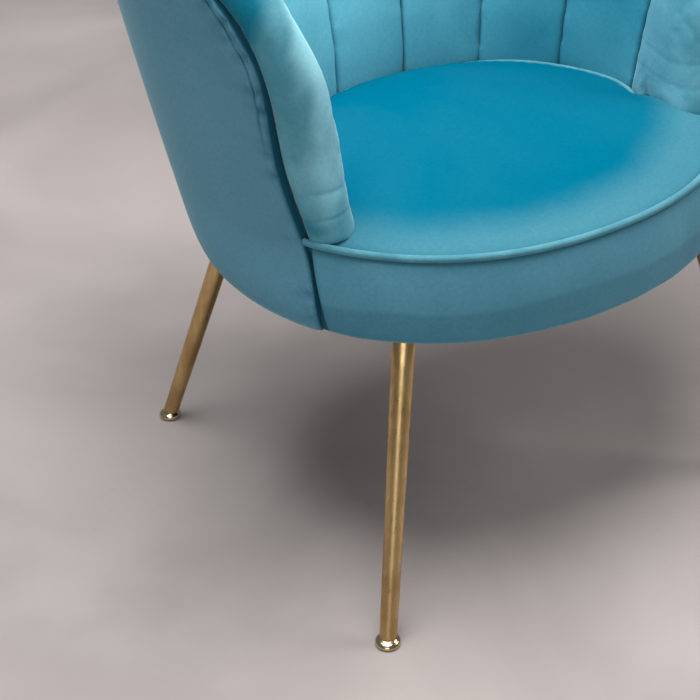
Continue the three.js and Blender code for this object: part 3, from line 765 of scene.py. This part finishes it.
def outer_cover():
    columns, rows = 300, 70
    where = []
    for i in range(columns + 1):
        s_signed = 2 * i / columns - 1
        side, s = (-1 if s_signed < 0 else 1), abs(s_signed)
        a_top, z_top = top_edge(s)
        a_low = cover_front(RIM_Z) * (s * 0.93 + 0.07 * s ** 3)
        for j in range(rows + 1):
            v = 1 - (1 - j / rows) ** 1.25
            z = mix(RIM_Z, z_top, v)
            lean = cover_front(z) - mix(cover_front(RIM_Z), cover_front(z_top), v)
            where.append((side * (mix(a_low, a_top, v) + lean * s ** 6), z))
    faces = []
    for i in range(columns):
        for j in range(rows):
            a, b = i * (rows + 1) + j, (i + 1) * (rows + 1) + j
            faces.append((a, a + 1, b + 1, b))
    line = [0.0]
    for a, b in zip(COVER_LINE, COVER_LINE[1:]):
        line.append(line[-1] + (b - a).length)

    def nearest(p):
        """Distance to the edge, and the length along the edge there."""
        q = Vector((abs(p.x), p.y, p.z))
        best = min(range(0, len(COVER_LINE), 4), key=lambda k: (COVER_LINE[k] - q).length_squared)
        span = range(max(0, best - 4), min(len(COVER_LINE), best + 5))
        k = min(span, key=lambda k: (COVER_LINE[k] - q).length_squared)
        return (COVER_LINE[k] - q).length, line[k]

    verts, crease_shades = [], []
    for a, z in where:
        p = polar(a, outer_radius(a, z), z)
        out = Vector((math.sin(math.radians(a)), math.cos(math.radians(a)), -0.25)).normalized()
        d, along = nearest(p)
        seed = 0.0 if a > 0 else 50.0
        slack = noise.noise(Vector((p.x * 5, p.y * 5, p.z * 4)))
        push = 0.0014 * slack * smooth(d / 0.05) * smooth((z - RIM_Z) / 0.03)
        crease_shade = 0.0
        if d < 0.06:
            # Puckers run in from the folded edge, past the line that holds it.
            near = fade(d, 0.012) * smooth(d / 0.002) * (1 + 1.2 * bell(z - 0.585, 0.05))
            pucker = noise.noise(Vector((along * 80 + seed, d * 18, 0.0)))
            fine = noise.noise(Vector((along * 190 + seed, d * 30, 5.0)))
            step = (0.0024 * pucker + 0.0010 * fine) * near
            held = bell(d - 0.0080, 0.0012) * smooth((z - 0.50) / 0.05)
            push += step - 0.0011 * held
            # Painted shade along the line that holds the edge and in the pucker dips.
            crease_shade = 0.60 * held + clamp(-step / 0.0009) * 0.5
        rounding = clamp(1 - d / 0.0028)
        push = max(push - 0.0028 * (1 - math.sqrt(max(0.0, 1 - rounding ** 2))), -0.0032)
        verts.append(p + out * push)
        # Painted shade on the edge where it rounds into the groove.
        crease_shades.append(crease_shade + 0.6 * rounding ** 2)
    # The edge turns in and goes down into the groove; the underside turns under.
    low_row = [i * (rows + 1) for i in range(columns + 1)]
    loop = list(range(rows + 1)) + [k + rows for k in low_row[1:-1]]
    loop += [columns * (rows + 1) + j for j in range(rows, -1, -1)]

    def hem(row, depths, place):
        previous = row
        for depth in depths:
            current = []
            for k in row:
                current.append(len(verts))
                verts.append(place(*where[k], depth))
                # Painted shade on the hem in the groove and underneath.
                crease_shades.append(0.9)
            for m in range(len(row) - 1):
                faces.append((previous[m], current[m], current[m + 1], previous[m + 1]))
            previous = current

    hem(loop, HEM_DEPTHS, lambda a, z, depth: polar(a, outer_radius(a, z) - depth, z))
    hem(low_row[::-1], UNDERSIDE_DEPTHS,
        lambda a, z, depth: polar(a, outer_radius(a, z) - depth, z - 0.0003))
    obj = make("outer_cover_fabric", verts, faces, VELVET_SIDE, "outer_cover", slot="velvet")
    set_crease_shades(obj, [clamp(f) for f in crease_shades])


def groove_shade_strip():
    """A dark strip that shows at the bottom of the groove, from rim to rim: the groove's shade is
    painted into its colour.
    """
    line = [Vector((-p.x, p.y, p.z)) for p in GROOVE_LINE[::-1]] + GROOVE_LINE[1:]
    verts, section = [], 12
    for i, p in enumerate(line):
        inwards = Vector((-p.x, -(p.y - BASE_Y), 0)).normalized()
        ahead = line[min(i + 1, len(line) - 1)] - line[max(i - 1, 0)]
        across = inwards.cross(ahead).normalized()
        centre = p + inwards * mix(0.0080, 0.0130, smooth((p.z - RIM_Z) / 0.03))
        wave_in = 0.0012 * noise.noise(Vector((i * 0.16, 0.0, 0.0)))
        for k in range(section):
            turn = math.tau * k / section
            rise, aside = (0.0042 + wave_in) * math.cos(turn), 0.0115 * math.sin(turn)
            verts.append(centre + inwards * rise + across * aside)
    obj = make("groove_shade_strip", verts, tube_faces(len(line), section), GROOVE_SHADE_CLOTH, slot="velvet")
    modified(obj, "WELD", merge_threshold=0.00001)
    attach(obj, "root")


# ---- Seat ----
def seat():
    count, verts = 96, []
    edge = [(a, seat_radius(a)) for a in (360 * i / count for i in range(count))]
    profile = [(0.6, DECK_Z + 0.001), (0.975, DECK_Z + 0.001), (0.99, DECK_Z + 0.006),
               (0.992, PIPING_Z - 0.004)]
    crown = SEAT_TOP - PIPING_Z
    for share in (0.985, 0.96, 0.92, 0.86, 0.78, 0.66, 0.5, 0.34, 0.18, 0.02):
        profile.append((share, PIPING_Z - 0.002 + (crown - 0.004) * (1 - share ** 2.6)))
    for share, z in profile:
        rise = smooth((z - DECK_Z) / (PIPING_Z - DECK_Z)) * share ** 3
        verts += [polar(a, r * share, z + corner_lift(a) * rise) for a, r in edge]
    faces = tube_faces(len(profile), count)

    def held(p, n):
        share = radius_of(p) / seat_radius(angle_of(p))
        return 1.0 if p.z < PIPING_Z - 0.002 or share > 0.965 else 0.0

    obj = soft("seat_cushion", verts, faces, VELVET_SEAT, SEAT_VOXEL, held, SEAT_SWELL,
               "seat_cover", "seat_foam")

    def dress(p, n):
        # Painted shade on the seat's side under the piping.
        if p.z < PIPING_Z - 0.003:
            return p, 0.5
        a, r = angle_of(p), radius_of(p)
        d = max(0.0, seat_radius(a) - r)
        turn = math.radians(a)
        pull = noise.noise(Vector((math.sin(turn) * 26, math.cos(turn) * 26, 2.0)))
        broad = noise.noise(Vector((p.x * 6, p.y * 6, 1.0)))
        step = 0.0012 * pull * fade(d, 0.022) + 0.0016 * broad * smooth(d / 0.05)
        # Painted shade at the seat's edge.
        return p + n * (step - 0.0012 * fade(d, 0.005)), 0.45 * fade(d, 0.0025)

    reshape(obj, dress)


def piping():
    """A cord in a bias strip of the fabric."""
    around, section = 520, 14
    verts = []
    for i in range(around):
        a = 360 * i / around - 180
        behind = 1 - smooth((abs(a) - 100) / 8)
        radius = seat_radius(a) - 0.002 * behind
        hidden = 1 - smooth((a - 30) / 30)
        low = PIPING_Z + corner_lift(a) - (0.0045 + 0.0035 * hidden) * behind
        pinch = 1 - 0.05 * max(0.0, math.sin(i * 2.1)) + 0.03 * noise.noise(Vector((i * 0.35, 0, 0)))
        for k in range(section):
            turn = math.tau * k / section
            r = PIPING_RADIUS * pinch * (1 - 0.3 * behind)
            verts.append(polar(a, radius + r * math.cos(turn), low + r * math.sin(turn)))
    faces = []
    for i in range(around):
        for k in range(section):
            j, m = (i + 1) % around, (k + 1) % section
            faces.append((i * section + k, i * section + m, j * section + m, j * section + k))
    make("piping", verts, faces, VELVET_PIPING, "seat_piping", slot="velvet")


def front_band():
    """The velvet strip round the front of the base, over its wadding."""
    columns, rows = 200, 22

    def height(u, v):
        a = mix(front_angle(PIPING_Z), 360 - front_angle(PIPING_Z), u)
        return mix(RIM_Z, PIPING_LOW - 0.0002 + corner_lift(a), v)

    verts, crease_shades = [], []
    for i in range(columns + 1):
        u = i / columns
        for j in range(rows + 1):
            v = j / rows
            z = height(u, v)
            rise = (z - RIM_Z) / (PIPING_Z - RIM_Z)
            start = front_angle(z) + mix(-0.4, -1.1, rise)
            a = mix(start, 360 - start, u)
            face = mix(plan(a, RIM), plan(a, BAND) + corner_fill(a), rise)
            face += 0.005 * math.sin(math.pi * rise)
            d = math.radians(min(u, 1 - u) * (360 - 2 * start)) * face
            face -= 0.003 * (1 - smooth(d / 0.004)) + 0.0025 * (1 - smooth(v / 0.06))
            face -= 0.002 * (1 - smooth((1 - v) / 0.05))
            pull = noise.noise(Vector((a * 0.55, v * 1.5, 0.0)))
            face += 0.0010 * pull * fade(1 - v, 0.25)
            face += 0.0012 * noise.noise(Vector((a * 0.10, v * 1.2, 4.0)))
            verts.append(polar(a, face, z))
            # Painted shade at the band's ends and under the piping.
            crease_shades.append(0.8 * fade(d, 0.0015) + 0.5 * fade((1 - v) * 0.09, 0.003))
    inner = len(verts)
    for i in range(columns + 1):
        for j in range(rows + 1):
            v, u = j / rows, i / columns
            z = height(u, v)
            rise = (z - RIM_Z) / (PIPING_Z - RIM_Z)
            start = front_angle(z) + mix(-0.4, -1.1, rise)
            a = mix(start, 360 - start, u)
            verts.append(polar(a, mix(plan(a, RIM), plan(a, BAND), rise) - BAND_BACK, z))
    faces = []
    w = rows + 1
    for i in range(columns):
        for j in range(rows):
            a, b = i * w + j, (i + 1) * w + j
            faces.append((a, a + 1, b + 1, b))
            faces.append((inner + a, inner + b, inner + b + 1, inner + a + 1))
        a, b = i * w, (i + 1) * w
        faces.append((a, b, inner + b, inner + a))
        faces.append((a + rows, inner + a + rows, inner + b + rows, b + rows))
    for j in range(rows):
        faces.append((j, inner + j, inner + j + 1, j + 1))
        a = columns * w + j
        faces.append((a, a + 1, inner + a + 1, inner + a))
    obj = make("front_band", verts, faces, VELVET_BAND, "front_band_cover", "front_band_wadding",
               slot="velvet")
    # Painted shade on the band's back layer.
    set_crease_shades(obj, [clamp(f) for f in crease_shades] + [0.9] * (len(verts) - inner))


# ---- Legs ----
def leg(name):
    tube, glide = "leg_tube_" + name, "leg_glide_" + name
    low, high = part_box(tube)
    side = 1 if low.x > 0 else -1
    rear = 1 if low.y > 0 else -1
    foot_low, foot_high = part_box(glide)
    foot = Vector(((foot_low.x + foot_high.x) / 2, (foot_low.y + foot_high.y) / 2, 0.0))
    top_x = low.x if side > 0 else high.x
    top_y = low.y if rear > 0 else high.y
    top = Vector((top_x + side * TOP_RADIUS, top_y + rear * TOP_RADIUS, high.z))
    axis = top - foot
    verts, around = [], 40
    stations = [0.006, 0.010, 0.014, 0.05, 0.1, 0.15, 0.2, 0.25, 0.28]
    heights = [(z, 1.0) for z in stations if z < high.z] + [(high.z - 0.0005, 1.0), (high.z, 0.96)]
    heights[0] = (heights[0][0], 0.86)
    for z, narrow in heights:
        share = z / high.z
        centre = foot + axis * share
        radius = mix(FOOT_RADIUS, TOP_RADIUS, share) * narrow
        for k in range(around):
            turn = math.tau * k / around
            verts.append(centre + Vector((radius * math.cos(turn), radius * math.sin(turn), 0)))
    make("leg_" + name, verts, tube_faces(len(heights), around), BRASS, tube, slot="leg_metal")
    radius = (foot_high.x - foot_low.x) / 2
    profile = [(0.70, 0.0), (0.90, 0.0006), (0.985, 0.0020), (1.0, 0.0036), (0.975, 0.0052),
               (0.90, 0.0064), (0.80, 0.0070), (0.74, 0.0074), (0.72, 0.0080), (0.5, 0.0082)]
    verts = []
    for share, z in profile:
        centre = foot + axis * (z / high.z)
        for k in range(around):
            turn = math.tau * k / around
            verts.append(Vector((centre.x + radius * share * math.cos(turn),
                                 centre.y + radius * share * math.sin(turn), z)))
    make("glide_" + name, verts, tube_faces(len(profile), around), POLISHED, glide, slot="leg_metal")


# ---- What is inside and underneath ----
def tack_bar(side, name):
    """The toothed steel strip that pulls the cover's folded edge back at the front of the arm."""
    rows, verts = 76, []
    for j in range(rows + 1):
        z = mix(RIM_Z + 0.0093, CORNER_Z, j / rows)
        tooth = 0.0006 if j % 4 < 2 else 0.0
        for a, depth in ((0.9, 0.008), (2.9, 0.008), (2.9, 0.0092), (0.9, 0.0092 + tooth)):
            angle = cover_front(z) - a
            p = polar(angle, outer_radius(angle, z) - depth - 0.0055, z)
            verts.append(Vector((side * p.x, p.y, p.z)))
    faces = tube_faces(rows + 1, 4)
    if side < 0:
        faces = [f[::-1] for f in faces]
    make(f"tack_bar_{name}", verts, faces, STEEL, f"tack_strip_{name}", slot="steel")


def dressed_copy(name, node_name, material, levels, amount, scale, slot):
    """A finer copy of a soft inner piece, with its surface slightly uneven."""
    obj = bpy.data.objects.new(name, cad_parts[node_name].data.copy())
    SCENE.collection.objects.link(obj)
    obj.data.materials.clear()
    obj.data.materials.append(material)
    modified(obj, "WELD", merge_threshold=0.00005)
    modified(obj, "SUBSURF", subdivision_type="SIMPLE", levels=levels, render_levels=levels)
    reshape(obj, lambda p, n: (p + n * (amount * wave(p, scale)), 0.0))
    return stand_for(obj, (node_name,), slot)


def inner_pieces():
    dressed_copy("base_lining", "dust_cover", LINING, 2, 0.0006, 14.0, "lining")
    for i in (1, 2, 3):
        for run in ("long", "cross"):
            strap = f"seat_webbing_{run}_{i}"
            dressed_copy(f"strap_{run}_{i}", strap, WEBBING, 2, 0.0002, 60.0, "webbing")
    for i in (1, 2):
        dressed_copy(f"strap_back_{i}", f"back_webbing_{i}", WEBBING, 1, 0.0002, 60.0, "webbing")
    wooden = ("base_ring", "corner_block", "back_lower_rail", "back_top_rail", "back_upright",
              "arm_post")
    for name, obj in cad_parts.items():
        material = STEEL if name.startswith("leg_plate") else PLYWOOD
        if material is STEEL or name.startswith(wooden):
            for held in obj.material_slots:
                held.material = material
            if not obj.material_slots:
                obj.data.materials.append(material)


place_camera()
studio()
floor()
outer_cover()
groove_shade_strip()
for i in range(7):
    channel_pad(i)
arm_roll(1, "right")
arm_roll(-1, "left")
seat()
piping()
front_band()
for name in ("front_right", "front_left", "rear_right", "rear_left"):
    leg(name)
tack_bar(1, "right")
tack_bar(-1, "left")
inner_pieces()
